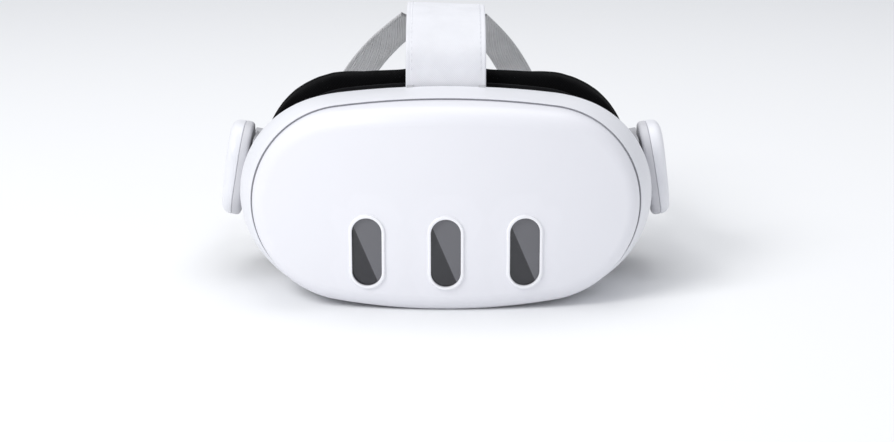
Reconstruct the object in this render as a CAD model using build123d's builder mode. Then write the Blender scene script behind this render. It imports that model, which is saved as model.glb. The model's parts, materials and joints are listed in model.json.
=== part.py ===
from build123d import *
import os
from math import cos, radians, sin, sqrt, tan

# Standalone virtual reality headset, in millimetres.
# +Z is up, the front cover faces -Y and the wearer's head is on the +Y side.
# Left and right are the wearer's: left is +X.
# The origin is the middle of the flat that the visor stands on, under the main shell.

# ---------------------------------------------------------------- driving dimensions
SEAM_Y = -22.0              # plane of the seam between the front cover and the main shell
CENTRE_Z = 45.2             # height of the visor's middle above the flat it stands on
SEAM_HALF_W = 86.0
SEAM_HALF_H = 46.0
SEAM_END_R = 43.2           # radius of the round ends of the visor's outline
SEAM_GAP = 0.8              # width of the groove between the cover's side and the shell's lip
LIP_Y = SEAM_Y - 0.6        # front edge of the lip
LIP_T = 0.25
GROOVE_Y = SEAM_Y + 0.4     # floor of the groove, and the cover's rear edge
GASKET_T = 0.8

COVER_BULGE = 24.0          # how far the front cover stands out at its middle
DOME_R = 235.0              # radius of the front cover's face
COVER_EDGE_R = 9.0
WALL = 2.0

SHELL_MAX_W = 92.5          # half width of the main shell at its widest section
SHELL_MAX_Y = SEAM_Y + 17.0
SHELL_REAR_Y = SEAM_Y + 48.0
SHELL_REAR_W = 86.5
SHELL_REAR_H = 44.6
SHELL_REAR_DROP = 1.0       # the rear rim sits lower, so that the underside stays level

WINDOW_PITCH = 34.4
WINDOW_Z = CENTRE_Z - 18.0
GLASS_W = 13.0
GLASS_H = 30.8
RIM_W = 15.6
RIM_H = 33.4
RIM_PROUD = 1.1             # how far a window's rim stands out of the cover
GLASS_SUNK = 0.6            # how far the glass lies below the cover's face

EYE_X = 31.5                # half of the 63 mm distance between the eyes at rest
EYE_Z = CENTRE_Z - 1.0
EYE_TRAVEL = 5.5            # travel of each lens module, outward and inward
BARREL_R = 23.0
BARREL_FRONT_Y = SEAM_Y + 12.0
BARREL_REAR_Y = SEAM_Y + 41.0

FRAME_FRONT_Y = SEAM_Y + 2.4
FRAME_REAR_Y = SEAM_Y + 4.4
PLATE_Y = SEAM_Y + 42.0     # front face of the plate around the lenses

SKIRT_HALF_W = 82.5         # face interface: the skirt that slides in the shell
SKIRT_HALF_H = 40.0
SKIRT_END_R = 38.0
SKIRT_FRONT_Y = SEAM_Y + 35.0
CUSHION_FRONT_Y = SEAM_Y + 64.0
CUSHION_MID_Y = SEAM_Y + 75.0
FACE_R = 200.0              # plan radius of the face that the cushion follows

PIVOT_Y = SEAM_Y + 53.6     # headband hinge, an axis along X
PIVOT_Z = CENTRE_Z + 8.0
PIN_R = 3.0
PIN_CLEARANCE = 0.05
ARM_LEAN = 9.5              # the arms' tops lean inward
ARM_INNER_X = 91.5          # inner face of an arm at the height of the hinge
ARM_FRONT_Y = SEAM_Y + 37.5
ARM_REAR_Y = SEAM_Y + 112.0
ARM_TOP = 17.0              # edges of an arm along its face, from the hinge
ARM_BOTTOM = -26.0
ARM_WIDTH = 36.0
ARM_CORNER_R = 15.0
ARM_END_R = 11.0
ARM_END_DROP = 13.0         # the arms droop towards the rear
HOUSING_T = 4.2
COVER_T = 5.5               # at the height of the hinge
COVER_FLARE = 2.5           # the outer face leans less, so an arm is thicker at its top
HUB_GAP = 1.3

BAND_H = 22.0
BAND_T = 2.5
BAND_BOTTOM_Z = PIVOT_Z - ARM_END_DROP - BAND_H / 2
BAND_START_Y = SEAM_Y + 98.0
BAND_BACK_Y = SEAM_Y + 146.0
BAND_BACK_DEPTH = 70.0
BAND_BACK_R = 62.0
SLIDER_LENGTH = 13.0
SLIDER_Y = SEAM_Y + 121.0

STRAP_W = 37.0
STRAP_T = 2.4
LEG_W = 17.0

RUNNING = 0.3               # clearance round buttons and other moving trim

LEFT = 1
RIGHT = -1
SIDES = (("left", LEFT), ("right", RIGHT))

os.makedirs("parts", exist_ok=True)


def save(builder, name):
    """Label a finished piece and write it as its own STEP file."""
    builder.part.label = name
    export_step(builder.part, f"parts/{name}.step")


def across(y):
    """The vertical plane at depth y, drawn in X and Z, extruding towards the front."""
    return Plane.XZ.offset(-y)


def stadium(half_w, half_h, end_r):
    """Outline of two round ends joined by nearly flat arcs, all tangent, about the visor's middle."""
    top_r = ((half_w - end_r) ** 2 + half_h**2 - end_r**2) / (2 * (half_h - end_r))
    join_x = (half_w - end_r) * top_r / (top_r - end_r)
    join_z = (top_r - half_h) * end_r / (top_r - end_r)
    with BuildSketch() as outline:
        with BuildLine():
            ThreePointArc((join_x, -join_z), (half_w, 0), (join_x, join_z))
            ThreePointArc((join_x, join_z), (0, half_h), (-join_x, join_z))
            ThreePointArc((-join_x, join_z), (-half_w, 0), (-join_x, -join_z))
            ThreePointArc((-join_x, -join_z), (0, -half_h), (join_x, -join_z))
        make_face()
    return outline.sketch


def visor_section(inset=0.0, half_w=SEAM_HALF_W, half_h=SEAM_HALF_H, end_r=SEAM_END_R):
    """A visor outline moved to the visor's height and drawn smaller by the inset."""
    return Pos(0, CENTRE_Z) * stadium(half_w - inset, half_h - inset, end_r - inset)


def shell_blank(inset):
    """The main shell's outer form, or its hollow, from the seam to its rear rim."""
    with BuildPart() as blank:
        with BuildSketch(across(LIP_Y)):
            add(visor_section(inset - SEAM_GAP / 2 - LIP_T))
        with BuildSketch(across(SHELL_MAX_Y)):
            add(visor_section(inset, half_w=SHELL_MAX_W))
        with BuildSketch(across(SHELL_REAR_Y)):
            with Locations((0, -SHELL_REAR_DROP)):
                add(visor_section(inset, half_w=SHELL_REAR_W, half_h=SHELL_REAR_H, end_r=42.0))
        loft()
    return blank.part


def dome_blank(inset):
    """The front cover's outer form, or its hollow: a domed cap with a rounded edge."""
    with BuildPart() as blank:
        with BuildSketch(across(GROOVE_Y)):
            add(visor_section(inset + SEAM_GAP / 2))
        extrude(amount=COVER_BULGE + 1)
        with Locations((0, SEAM_Y - COVER_BULGE + DOME_R, CENTRE_Z)):
            Sphere(DOME_R - inset, mode=Mode.INTERSECT)
        front_edges = blank.edges().filter_by(GeomType.LINE, reverse=True)
        front_edges = front_edges.filter_by(lambda edge: edge.center().Y < SEAM_Y - 2)
        fillet(front_edges, radius=COVER_EDGE_R - inset)
    return blank.part


SHELL_OUTER = shell_blank(0.0)


# ---------------------------------------------------------------- places on the shell's sides
def side_plane(side, angle, y):
    """Plane on the shell's round end: angle above the horizontal, normal pointing outward."""
    end_r = SEAM_END_R
    centre_x = SHELL_MAX_W - end_r - 1.0
    normal = (side * cos(radians(angle)), 0, sin(radians(angle)))
    origin = (
        side * (centre_x + end_r * cos(radians(angle))),
        y,
        CENTRE_Z + end_r * sin(radians(angle)),
    )
    return Plane(origin=origin, x_dir=(0, 1, 0), z_dir=normal)


PORT_Y = SEAM_Y + 28.0
PORT_ANGLE = -22.0
PORT_LENGTH = 12.0
JACK_BORE_R = 1.8
JACK_OUTER_R = 4.0
USB_W = 9.0
USB_H = 3.3
USB_WALL = 0.8
POWER_ANGLE = -44.0
POWER_LENGTH = 11.0
POWER_WIDTH = 4.6
POWER_DEPTH = 5.0
LIGHT_Y = SEAM_Y + 39.0
LIGHT_R = 1.2

USB_PLANE = side_plane(LEFT, PORT_ANGLE, PORT_Y)
JACK_PLANE = side_plane(RIGHT, PORT_ANGLE, PORT_Y)
POWER_PLANE = side_plane(LEFT, POWER_ANGLE, PORT_Y)
LIGHT_PLANE = side_plane(LEFT, POWER_ANGLE, LIGHT_Y)

# ---------------------------------------------------------------- places under the shell
WHEEL_X = 38.0
WHEEL_Y = SEAM_Y + 31.0
WHEEL_T = 4.0
WHEEL_R = 10.0
WHEEL_Z = WHEEL_R + 0.4
PINION_R = 3.6              # pitch radius of the eye distance drive
PINION_Y = SEAM_Y + 25.5
RACK_T = 3.0
RACK_H = 2.2

ROCKER_X = -46.0
ROCKER_Y = SEAM_Y + 31.0
ROCKER_Z = 2.0
ROCKER_LENGTH = 18.0
ROCKER_WIDTH = 5.0
ROCKER_DEPTH = 4.0
ROCKER_TILT = 6.7
TRUNNION_R = 1.0
TRUNNION_Z = 5.0            # height of the axis that the rocker tips about
ROCKER_PLANE = Plane(
    origin=(ROCKER_X, ROCKER_Y, ROCKER_Z),
    x_dir=(cos(radians(ROCKER_TILT)), 0, -sin(radians(ROCKER_TILT))),
    z_dir=(-sin(radians(ROCKER_TILT)), 0, -cos(radians(ROCKER_TILT))),
)

CONTACT_X = 8.0
CONTACT_Y = SEAM_Y + 12.0
CONTACT_R = 2.4
VENT_Y = SEAM_Y + 8.0
VENT_COUNT = 5

HUB_FRONT_Y = SEAM_Y + 38.0
HUB_REAR_Y = SEAM_Y + 62.0
HUB_INNER_X = 85.6


# ---------------------------------------------------------------- visor: outer pieces
def main_shell():
    with BuildPart() as shell:
        add(SHELL_OUTER)
        add(shell_blank(WALL), mode=Mode.SUBTRACT)
        # ledge inside the front rim, which the middle frame is screwed to
        with BuildSketch(across(FRAME_FRONT_Y)):
            add(visor_section(0.0))
            add(visor_section(9.0), mode=Mode.SUBTRACT)
        extrude(amount=FRAME_FRONT_Y - GROOVE_Y - GASKET_T)
        # seat of the cover and its gasket
        with BuildSketch(across(GROOVE_Y + GASKET_T)):
            add(visor_section(-SEAM_GAP / 2))
        extrude(amount=4, mode=Mode.SUBTRACT)
        # flat to stand on
        with Locations((0, 0, 0)):
            Box(300, 200, 20, align=(Align.CENTER, Align.CENTER, Align.MAX), mode=Mode.SUBTRACT)
        # openings for the ports, buttons, wheel, charging contacts and air
        with BuildSketch(USB_PLANE.offset(5)):
            SlotOverall(USB_W + 2 * USB_WALL, USB_H + 2 * USB_WALL, rotation=90)
        extrude(amount=-15, mode=Mode.SUBTRACT)
        with BuildSketch(JACK_PLANE.offset(5)):
            Circle(JACK_OUTER_R)
        extrude(amount=-15, mode=Mode.SUBTRACT)
        with BuildSketch(POWER_PLANE.offset(5)):
            SlotOverall(POWER_LENGTH + 2 * RUNNING, POWER_WIDTH + 2 * RUNNING)
        extrude(amount=-12, mode=Mode.SUBTRACT)
        with BuildSketch(LIGHT_PLANE.offset(5)):
            Circle(LIGHT_R)
        extrude(amount=-12, mode=Mode.SUBTRACT)
        with BuildSketch(ROCKER_PLANE.offset(3)):
            SlotOverall(ROCKER_LENGTH + 1.2, ROCKER_WIDTH + 2 * RUNNING)
        extrude(amount=-8, mode=Mode.SUBTRACT)
        with Locations((WHEEL_X, WHEEL_Y, 0)):
            Box(16, WHEEL_T + 1.2, 12, mode=Mode.SUBTRACT)
        with BuildSketch(Plane.XY):
            with Locations((-CONTACT_X, CONTACT_Y), (CONTACT_X, CONTACT_Y)):
                Circle(CONTACT_R)
        extrude(amount=6, mode=Mode.SUBTRACT)
        with BuildSketch(Plane.XY.offset(-1)):
            with Locations((-58, VENT_Y + 6), (58, VENT_Y + 6)):
                with GridLocations(4, 0, VENT_COUNT, 1):
                    SlotOverall(10, 1.8, rotation=90)
        extrude(amount=9, mode=Mode.SUBTRACT)
    save(shell, "main_shell")


def front_cover():
    with BuildPart() as cover:
        add(dome_blank(0.0))
        add(dome_blank(WALL), mode=Mode.SUBTRACT)
        with BuildSketch(across(SEAM_Y)):
            with Locations(*window_places()):
                SlotOverall(RIM_H, RIM_W, rotation=90)
        extrude(amount=COVER_BULGE + 5, mode=Mode.SUBTRACT)
        # level with the flat underneath
        Box(300, 200, 20, align=(Align.CENTER, Align.CENTER, Align.MAX), mode=Mode.SUBTRACT)
    save(cover, "front_cover")


def seam_gasket():
    """Dark floor of the groove, between the cover's rear edge and the shell's ledge."""
    with BuildPart() as gasket:
        with BuildSketch(across(GROOVE_Y + GASKET_T)):
            add(visor_section(-SEAM_GAP / 2))
            add(visor_section(4.0), mode=Mode.SUBTRACT)
        extrude(amount=GASKET_T)
        Box(300, 200, 20, align=(Align.CENTER, Align.CENTER, Align.MAX), mode=Mode.SUBTRACT)
    save(gasket, "seam_gasket")


# ---------------------------------------------------------------- visor: sensor windows
WINDOWS = (("right", -WINDOW_PITCH), ("centre", 0.0), ("left", WINDOW_PITCH))
WINDOW_BACK_Y = SEAM_Y - COVER_BULGE + 10.0


def window_places():
    return [(x, WINDOW_Z) for _, x in WINDOWS]


def sensor_window(name, x):
    """A raised rim in the cover and the dark glass inside it, both following the cover's dome."""
    dome_centre = (0, SEAM_Y - COVER_BULGE + DOME_R, CENTRE_Z)
    with BuildPart() as rim:
        with BuildSketch(across(WINDOW_BACK_Y)):
            with Locations((x, WINDOW_Z)):
                SlotOverall(RIM_H, RIM_W, rotation=90)
                SlotOverall(GLASS_H, GLASS_W, rotation=90, mode=Mode.SUBTRACT)
        extrude(amount=16)
        with Locations(dome_centre):
            Sphere(DOME_R + RIM_PROUD, mode=Mode.INTERSECT)
    save(rim, f"{name}_window_rim")
    with BuildPart() as glass:
        with BuildSketch(across(WINDOW_BACK_Y)):
            with Locations((x, WINDOW_Z)):
                SlotOverall(GLASS_H, GLASS_W, rotation=90)
        extrude(amount=16)
        with Locations(dome_centre):
            Sphere(DOME_R - GLASS_SUNK, mode=Mode.INTERSECT)
    save(glass, f"{name}_sensor_window")


CAMERA_SPREAD = 15.0
CAMERA_R = 4.6


def camera_module(name, x):
    """A small board with two cameras, one above the other, behind a side window."""
    with BuildPart() as camera:
        with BuildSketch(across(FRAME_FRONT_Y)):
            with Locations((x, WINDOW_Z)):
                RectangleRounded(13, 30, 2)
        extrude(amount=FRAME_FRONT_Y - WINDOW_BACK_Y - 5)
        with BuildSketch(across(WINDOW_BACK_Y + 5)):
            with Locations((x, WINDOW_Z)):
                with GridLocations(0, CAMERA_SPREAD, 1, 2):
                    Circle(CAMERA_R)
        extrude(amount=4.8)
    save(camera, f"{name}_camera_pair")


def depth_projector():
    with BuildPart() as projector:
        with BuildSketch(across(FRAME_FRONT_Y)):
            with Locations((0, WINDOW_Z)):
                RectangleRounded(12, 26, 2)
        extrude(amount=FRAME_FRONT_Y - WINDOW_BACK_Y - 5)
        with BuildSketch(across(WINDOW_BACK_Y + 5)):
            with Locations((0, WINDOW_Z)):
                Rectangle(8, 12)
        extrude(amount=4.8)
    save(projector, "depth_projector")


# ---------------------------------------------------------------- visor: inside
ROD_R = 1.5
ROD_SPREAD = 26.0           # the rods lie this far above and below the lenses' middle
ROD_Y = SEAM_Y + 19.0
ROD_HALF_LENGTH = 62.0
EAR_T = 4.0
EAR_H = 7.0
POST_X = 68.0
POST_Z = 15.0
POST_R = 3.0


def mid_frame():
    """The plate that everything inside is fixed to, with ears that hold the guide rods."""
    with BuildPart() as frame:
        with BuildSketch(across(FRAME_REAR_Y)):
            add(visor_section(6.0))
            with Locations((-24, EYE_Z + 18), (24, EYE_Z + 18)):
                Circle(5, mode=Mode.SUBTRACT)
        extrude(amount=FRAME_REAR_Y - FRAME_FRONT_Y)
        for side in (LEFT, RIGHT):
            for level in (ROD_SPREAD, -ROD_SPREAD):
                with Locations((side * (ROD_HALF_LENGTH + EAR_T / 2), FRAME_REAR_Y, EYE_Z + level)):
                    Box(EAR_T, ROD_Y + 3 - FRAME_REAR_Y, EAR_H, align=(Align.CENTER, Align.MIN, Align.CENTER))
    save(frame, "mid_frame")


def guide_rods():
    with BuildPart() as rods:
        with BuildSketch(Plane.YZ.offset(-ROD_HALF_LENGTH)):
            with Locations((ROD_Y, EYE_Z + ROD_SPREAD), (ROD_Y, EYE_Z - ROD_SPREAD)):
                Circle(ROD_R)
        extrude(amount=2 * ROD_HALF_LENGTH)
    save(rods, "ipd_guide_rods")


BOARD_T = 1.6
CHIP_T = 1.8


def mainboard():
    with BuildPart() as board:
        with BuildSketch(across(FRAME_REAR_Y + BOARD_T)):
            add(visor_section(26.0, end_r=SEAM_END_R + 2))
        extrude(amount=BOARD_T)
        with BuildSketch(across(FRAME_REAR_Y + BOARD_T + CHIP_T)):
            with Locations((0, CENTRE_Z), (-34, CENTRE_Z + 6), (34, CENTRE_Z + 6)):
                Rectangle(16, 14)
        extrude(amount=CHIP_T)
    save(board, "mainboard")


FAN_Z = CENTRE_Z + 20.0
FAN_R = 15.0
IMPELLER_R = 12.0
FAN_FRONT_Y = SEAM_Y - 10.0
FAN_BACK_T = 1.6
SPINDLE_R = 1.5
BLADE_COUNT = 11


def fan_housing():
    with BuildPart() as housing:
        with BuildSketch(across(FRAME_FRONT_Y)):
            with Locations((0, FAN_Z)):
                Circle(FAN_R)
        extrude(amount=FRAME_FRONT_Y - FAN_FRONT_Y)
        with BuildSketch(across(FRAME_FRONT_Y - FAN_BACK_T)):
            with Locations((0, FAN_Z)):
                Circle(FAN_R - 1.4)
        extrude(amount=FRAME_FRONT_Y - FAN_FRONT_Y, mode=Mode.SUBTRACT)
        with BuildSketch(across(FRAME_FRONT_Y - FAN_BACK_T)):
            with Locations((0, FAN_Z)):
                Circle(SPINDLE_R)
        extrude(amount=7)
    save(housing, "fan_housing")


def fan_impeller():
    back_y = FRAME_FRONT_Y - FAN_BACK_T - 0.5
    with BuildPart() as impeller:
        with BuildSketch(across(back_y)):
            with Locations((0, FAN_Z)):
                Circle(IMPELLER_R)
        extrude(amount=1)
        with BuildSketch(across(back_y)):
            with Locations((0, FAN_Z)):
                Circle(4.5)
                with PolarLocations(8.0, BLADE_COUNT):
                    Rectangle(8, 0.9)
        extrude(amount=7.5)
        with BuildSketch(across(back_y)):
            with Locations((0, FAN_Z)):
                Circle(SPINDLE_R + PIN_CLEARANCE)
        extrude(amount=6.9, mode=Mode.SUBTRACT)
    save(impeller, "fan_impeller")


def battery_cells():
    """Two flat cells, one each side of the fan."""
    with BuildPart() as cells:
        for side in (LEFT, RIGHT):
            with Locations((side * 37, FRAME_FRONT_Y, CENTRE_Z + 18)):
                Box(38, 11, 25, align=(Align.CENTER, Align.MAX, Align.CENTER))
    save(cells, "battery_cells")


def heat_sink():
    """Finned plate on the main chip, behind the board."""
    base_y = FRAME_REAR_Y + BOARD_T + CHIP_T
    with BuildPart() as sink:
        with Locations((0, base_y, CENTRE_Z)):
            Box(20, 1.0, 17, align=(Align.CENTER, Align.MIN, Align.CENTER))
        with Locations((0, base_y + 1.0, CENTRE_Z)):
            with GridLocations(3, 0, 6, 1):
                Box(1.0, 1.4, 17, align=(Align.CENTER, Align.MIN, Align.CENTER))
    save(sink, "heat_sink")


def inner_face_plate():
    """Dark plate with two oval openings for the lenses, on four posts from the middle frame."""
    with BuildPart() as plate:
        with BuildSketch(across(PLATE_Y + WALL)):
            add(visor_section(0, half_w=79.5, half_h=37.5, end_r=36.0))
            with Locations((-EYE_X, EYE_Z), (EYE_X, EYE_Z)):
                SlotCenterToCenter(2 * EYE_TRAVEL, 2 * BARREL_R + 2, mode=Mode.SUBTRACT)
        extrude(amount=WALL)
        with BuildSketch(across(PLATE_Y)):
            with Locations((0, CENTRE_Z)):
                with GridLocations(2 * POST_X, 2 * POST_Z, 2, 2):
                    Circle(POST_R)
        extrude(amount=PLATE_Y - FRAME_REAR_Y)
    save(plate, "inner_face_plate")


def proximity_sensor():
    with BuildPart() as sensor:
        with BuildSketch(across(PLATE_Y + WALL + 1.2)):
            with Locations((0, CENTRE_Z + 28)):
                SlotOverall(9, 4)
        extrude(amount=1.2)
    save(sensor, "proximity_sensor")


def usb_port():
    """Oval charging and data inlet with its inner tongue."""
    mouth = USB_PLANE.offset(-0.4)
    with BuildPart() as port:
        with BuildSketch(mouth):
            SlotOverall(USB_W + 2 * USB_WALL, USB_H + 2 * USB_WALL, rotation=90)
        extrude(amount=-8)
        with BuildSketch(mouth):
            SlotOverall(USB_W, USB_H, rotation=90)
        extrude(amount=-6.5, mode=Mode.SUBTRACT)
        with BuildSketch(mouth.offset(-6.6)):
            Rectangle(0.7, 6.6)
        extrude(amount=5.6)
    save(port, "usb_port")


def audio_jack():
    mouth = JACK_PLANE.offset(-0.4)
    with BuildPart() as jack:
        with BuildSketch(mouth):
            Circle(JACK_OUTER_R)
        extrude(amount=-PORT_LENGTH - 1.5)
        with BuildSketch(mouth):
            Circle(JACK_BORE_R)
        extrude(amount=-PORT_LENGTH, mode=Mode.SUBTRACT)
    save(jack, "audio_jack")


def power_button():
    with BuildPart() as button:
        with BuildSketch(POWER_PLANE.offset(0.8)):
            SlotOverall(POWER_LENGTH, POWER_WIDTH)
        extrude(amount=-POWER_DEPTH)
        cap_edges = button.faces().sort_by(Axis(POWER_PLANE.origin, POWER_PLANE.z_dir))[-1].edges()
        fillet(cap_edges, radius=0.5)
    save(button, "power_button")


def status_light():
    with BuildPart() as light:
        with BuildSketch(LIGHT_PLANE.offset(-1.4)):
            Circle(LIGHT_R)
        extrude(amount=-4)
    save(light, "status_light")


def volume_rocker():
    """A bar under the visor that tips about its middle, for up and down."""
    with BuildPart() as rocker:
        with BuildSketch(ROCKER_PLANE.offset(0.3)):
            SlotOverall(ROCKER_LENGTH, ROCKER_WIDTH)
        extrude(amount=-ROCKER_DEPTH)
        cap_edges = rocker.faces().sort_by(Axis(ROCKER_PLANE.origin, ROCKER_PLANE.z_dir))[-1].edges()
        fillet(cap_edges, radius=0.5)
        with BuildSketch(across(ROCKER_Y + ROCKER_WIDTH / 2 + TRUNNION_R)):
            with Locations((ROCKER_X, TRUNNION_Z)):
                Circle(TRUNNION_R)
        extrude(amount=ROCKER_WIDTH + 2 * TRUNNION_R)
    save(rocker, "volume_rocker")


def charge_contacts():
    with BuildPart() as contacts:
        with BuildSketch(Plane.XY.offset(0.2)):
            with Locations((-CONTACT_X, CONTACT_Y), (CONTACT_X, CONTACT_Y)):
                Circle(CONTACT_R)
        extrude(amount=2.0)
    save(contacts, "charge_contacts")


# ---------------------------------------------------------------- lens modules and their drive
LUG_W = 10.0
LUG_H = 7.0
LUG_T = 7.0
DISPLAY_T = 1.6


def lens_barrel(name, side):
    """Tube that carries a lens and a display, with two lugs that run on the guide rods."""
    centre = (side * EYE_X, EYE_Z)
    with BuildPart() as barrel:
        with BuildSketch(across(BARREL_REAR_Y)):
            with Locations(centre):
                Circle(BARREL_R)
                Circle(BARREL_R - 2.0, mode=Mode.SUBTRACT)
        extrude(amount=BARREL_REAR_Y - BARREL_FRONT_Y)
        for level in (ROD_SPREAD, -ROD_SPREAD):
            with Locations((side * EYE_X, ROD_Y, EYE_Z + level)):
                Box(LUG_W, LUG_T, LUG_H)
        with BuildSketch(across(BARREL_REAR_Y)):
            with Locations(centre):
                Circle(BARREL_R - 2.0)
        extrude(amount=BARREL_REAR_Y - BARREL_FRONT_Y, mode=Mode.SUBTRACT)
        with BuildSketch(Plane.YZ.offset(side * EYE_X - LUG_W)):
            with Locations((ROD_Y, EYE_Z + ROD_SPREAD), (ROD_Y, EYE_Z - ROD_SPREAD)):
                Circle(ROD_R + PIN_CLEARANCE)
        extrude(amount=2 * LUG_W, mode=Mode.SUBTRACT)
    save(barrel, f"{name}_lens_barrel")


def eye_lens(name, side):
    """Pancake lens: a thick disc with a crowned rear face."""
    with BuildPart() as lens:
        with BuildSketch(across(BARREL_REAR_Y - 1.0)):
            with Locations((side * EYE_X, EYE_Z)):
                Circle(BARREL_R - 2.0)
        extrude(amount=9)
        crown_r = 70.0
        with Locations((side * EYE_X, BARREL_REAR_Y - 1.0 - crown_r, EYE_Z)):
            Sphere(crown_r, mode=Mode.INTERSECT)
    save(lens, f"{name}_eye_lens")


def display_panel(name, side):
    with BuildPart() as display:
        with BuildSketch(across(BARREL_FRONT_Y)):
            with Locations((side * EYE_X, EYE_Z)):
                RectangleRounded(40, 38, 9)
        extrude(amount=DISPLAY_T)
    save(display, f"{name}_display")


LEFT_RACK_Z = WHEEL_Z + PINION_R
RIGHT_RACK_Z = WHEEL_Z - PINION_R - RACK_H
RACK_REACH = 6.5            # how far a rack reaches past the pinion at rest


def lens_rack(name, side):
    """Bar from a lens module to the pinion: the left one passes over it, the right one under it."""
    level = LEFT_RACK_Z if side == LEFT else RIGHT_RACK_Z
    end_x = WHEEL_X + RACK_REACH
    start_x = side * EYE_X - 4.0 if side == RIGHT else WHEEL_X - RACK_REACH - 8.0
    lug_bottom = EYE_Z - ROD_SPREAD - LUG_H / 2
    with BuildPart() as rack:
        with Locations((start_x, PINION_Y, level)):
            Box(end_x - start_x, RACK_T, RACK_H, align=(Align.MIN, Align.CENTER, Align.MIN))
        # arm from the bar forward and up to the underside of the barrel's lower lug
        with Locations((side * EYE_X, PINION_Y + RACK_T / 2, level)):
            Box(6, 10, lug_bottom - level, align=(Align.CENTER, Align.MAX, Align.MIN))
    save(rack, f"{name}_rack")


def ipd_wheel():
    """Thumb wheel under the visor that sets the distance between the lenses."""
    with BuildPart() as wheel:
        with BuildSketch(across(WHEEL_Y + WHEEL_T / 2)):
            with Locations((WHEEL_X, WHEEL_Z)):
                Circle(WHEEL_R)
                with PolarLocations(WHEEL_R, 30):
                    Circle(0.45, mode=Mode.SUBTRACT)
        extrude(amount=WHEEL_T)
    save(wheel, "ipd_wheel")


def ipd_pinion():
    with BuildPart() as pinion:
        with BuildSketch(across(WHEEL_Y - WHEEL_T / 2)):
            with Locations((WHEEL_X, WHEEL_Z)):
                Circle(PINION_R - 0.1)
        extrude(amount=WHEEL_Y - WHEEL_T / 2 - PINION_Y + RACK_T / 2)
        with BuildSketch(across(PINION_Y - RACK_T / 2)):
            with Locations((WHEEL_X, WHEEL_Z)):
                Circle(1.4)
        extrude(amount=4)
    save(pinion, "ipd_pinion")


# ---------------------------------------------------------------- face interface
BUTTON_R = 4.0
BUTTON_Y = SEAM_Y + 56.0
BUTTON_Z = CENTRE_Z - 9.0
BUTTON_OUTER_X = 83.4
BUTTON_DEPTH = 4.0
NOSE_HALF_W = 21.0
NOSE_RISE = 27.0
CUSHION_HALF_W = 88.0
CUSHION_HALF_H = 46.2
CUSHION_END_R = 44.0
CUSHION_RISE = 2.0          # the cushion sits this much higher than the visor's middle
CUSHION_BAND = 14.0


def facial_frame():
    """Black skirt that slides in the shell, with a flange that the cushion clips to."""
    with BuildPart() as frame:
        with BuildSketch(across(CUSHION_FRONT_Y)):
            add(visor_section(0.0, SKIRT_HALF_W, SKIRT_HALF_H, SKIRT_END_R))
            add(visor_section(1.6, SKIRT_HALF_W, SKIRT_HALF_H, SKIRT_END_R), mode=Mode.SUBTRACT)
        extrude(amount=CUSHION_FRONT_Y - SKIRT_FRONT_Y)
        with BuildSketch(across(CUSHION_FRONT_Y)):
            add(visor_section(0.0, SKIRT_HALF_W, SKIRT_HALF_H + 3, SKIRT_END_R + 2.5))
            add(visor_section(6.0, SKIRT_HALF_W, SKIRT_HALF_H, SKIRT_END_R), mode=Mode.SUBTRACT)
        extrude(amount=2.0)
        with BuildSketch(across(CUSHION_FRONT_Y + 1)):
            with Locations((0, CENTRE_Z - SKIRT_HALF_H)):
                Ellipse(NOSE_HALF_W, NOSE_RISE - 8)
        extrude(amount=CUSHION_FRONT_Y - PLATE_Y - 3, mode=Mode.SUBTRACT)
        for side in (LEFT, RIGHT):
            with BuildSketch(Plane.YZ.offset(side * 90)):
                with Locations((BUTTON_Y, BUTTON_Z)):
                    Circle(BUTTON_R + RUNNING)
            extrude(amount=-side * 20, mode=Mode.SUBTRACT)
    save(frame, "facial_frame")


def facial_cushion():
    """Foam ring that follows the face, with a gap for the nose."""
    depth = 40.0
    with BuildPart() as cushion:
        with BuildSketch(across(CUSHION_FRONT_Y + depth)):
            with Locations((0, CUSHION_RISE)):
                add(visor_section(0.0, CUSHION_HALF_W, CUSHION_HALF_H, CUSHION_END_R))
                add(
                    visor_section(CUSHION_BAND, CUSHION_HALF_W, CUSHION_HALF_H, CUSHION_END_R),
                    mode=Mode.SUBTRACT,
                )
        extrude(amount=depth)
        with Locations((0, CUSHION_MID_Y + FACE_R, CENTRE_Z)):
            Cylinder(FACE_R, 200, mode=Mode.SUBTRACT)
        with BuildSketch(across(CUSHION_FRONT_Y - 1)):
            with Locations((0, CENTRE_Z - CUSHION_HALF_H)):
                Ellipse(NOSE_HALF_W, NOSE_RISE)
        extrude(amount=-depth - 5, mode=Mode.SUBTRACT)
        rear_edges = cushion.faces().filter_by(GeomType.CYLINDER).filter_by(
            lambda face: abs(face.radius - FACE_R) < 1
        )
        fillet(rear_edges.edges(), radius=3.0)
    save(cushion, "facial_cushion")


def depth_button(name, side):
    """Push button in the side of the skirt that frees the depth setting."""
    with BuildPart() as button:
        with BuildSketch(Plane.YZ.offset(side * BUTTON_OUTER_X)):
            with Locations((BUTTON_Y, BUTTON_Z)):
                Circle(BUTTON_R)
        extrude(amount=-side * BUTTON_DEPTH)
    save(button, f"{name}_depth_button")


# ---------------------------------------------------------------- headband
def arm_plane(side, depth=0.0):
    """Plane of an arm's inner face, its X along +Y, its normal outward, at the hinge's height."""
    lean = radians(ARM_LEAN)
    normal = Vector(side * cos(lean), 0, sin(lean))
    origin = Vector(side * ARM_INNER_X, 0, PIVOT_Z) + normal * depth
    return Plane(origin=origin, x_dir=(0, 1, 0), z_dir=normal)


def arm_outline(side):
    """Paddle: tall and rounded at the front, tapering to the band at the rear."""
    with BuildSketch() as paddle:
        with Locations((ARM_FRONT_Y + ARM_WIDTH / 2, side * (ARM_TOP + ARM_BOTTOM) / 2)):
            RectangleRounded(ARM_WIDTH, ARM_TOP - ARM_BOTTOM, ARM_CORNER_R)
        with Locations((ARM_REAR_Y - ARM_END_R, side * -ARM_END_DROP)):
            Circle(ARM_END_R)
        make_hull()
    return paddle.sketch


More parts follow.
